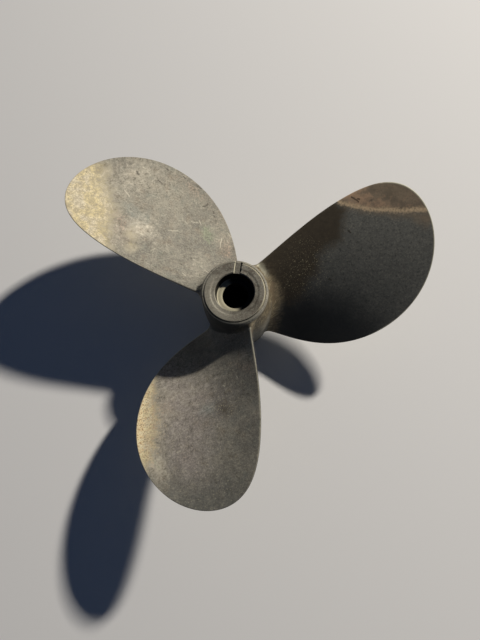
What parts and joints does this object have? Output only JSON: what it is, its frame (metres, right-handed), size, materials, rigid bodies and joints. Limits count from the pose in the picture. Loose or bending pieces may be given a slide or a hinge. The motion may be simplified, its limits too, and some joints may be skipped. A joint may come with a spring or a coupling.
{
  "type": "ship propeller",
  "caption": "Right-hand ship propeller in cast bronze, with broad raked blades and a flared hub that is taper bored and counterbored for a shaft and its nut.",
  "frame": {"origin": "centre of mass, on the shaft axis inside the hub", "axes": "+Z along the shaft axis toward the small, aft end of the hub, +X along the root line of the first blade"},
  "size_m": [0.4413, 0.4605, 0.1677],
  "materials": {
    "propeller": "cast and ground bronze, weathered khaki and grey with golden rubbed patches, turned hub face"
  },
  "bodies": {
    "root": {"propeller": "propeller"}
  },
  "joints": []
}
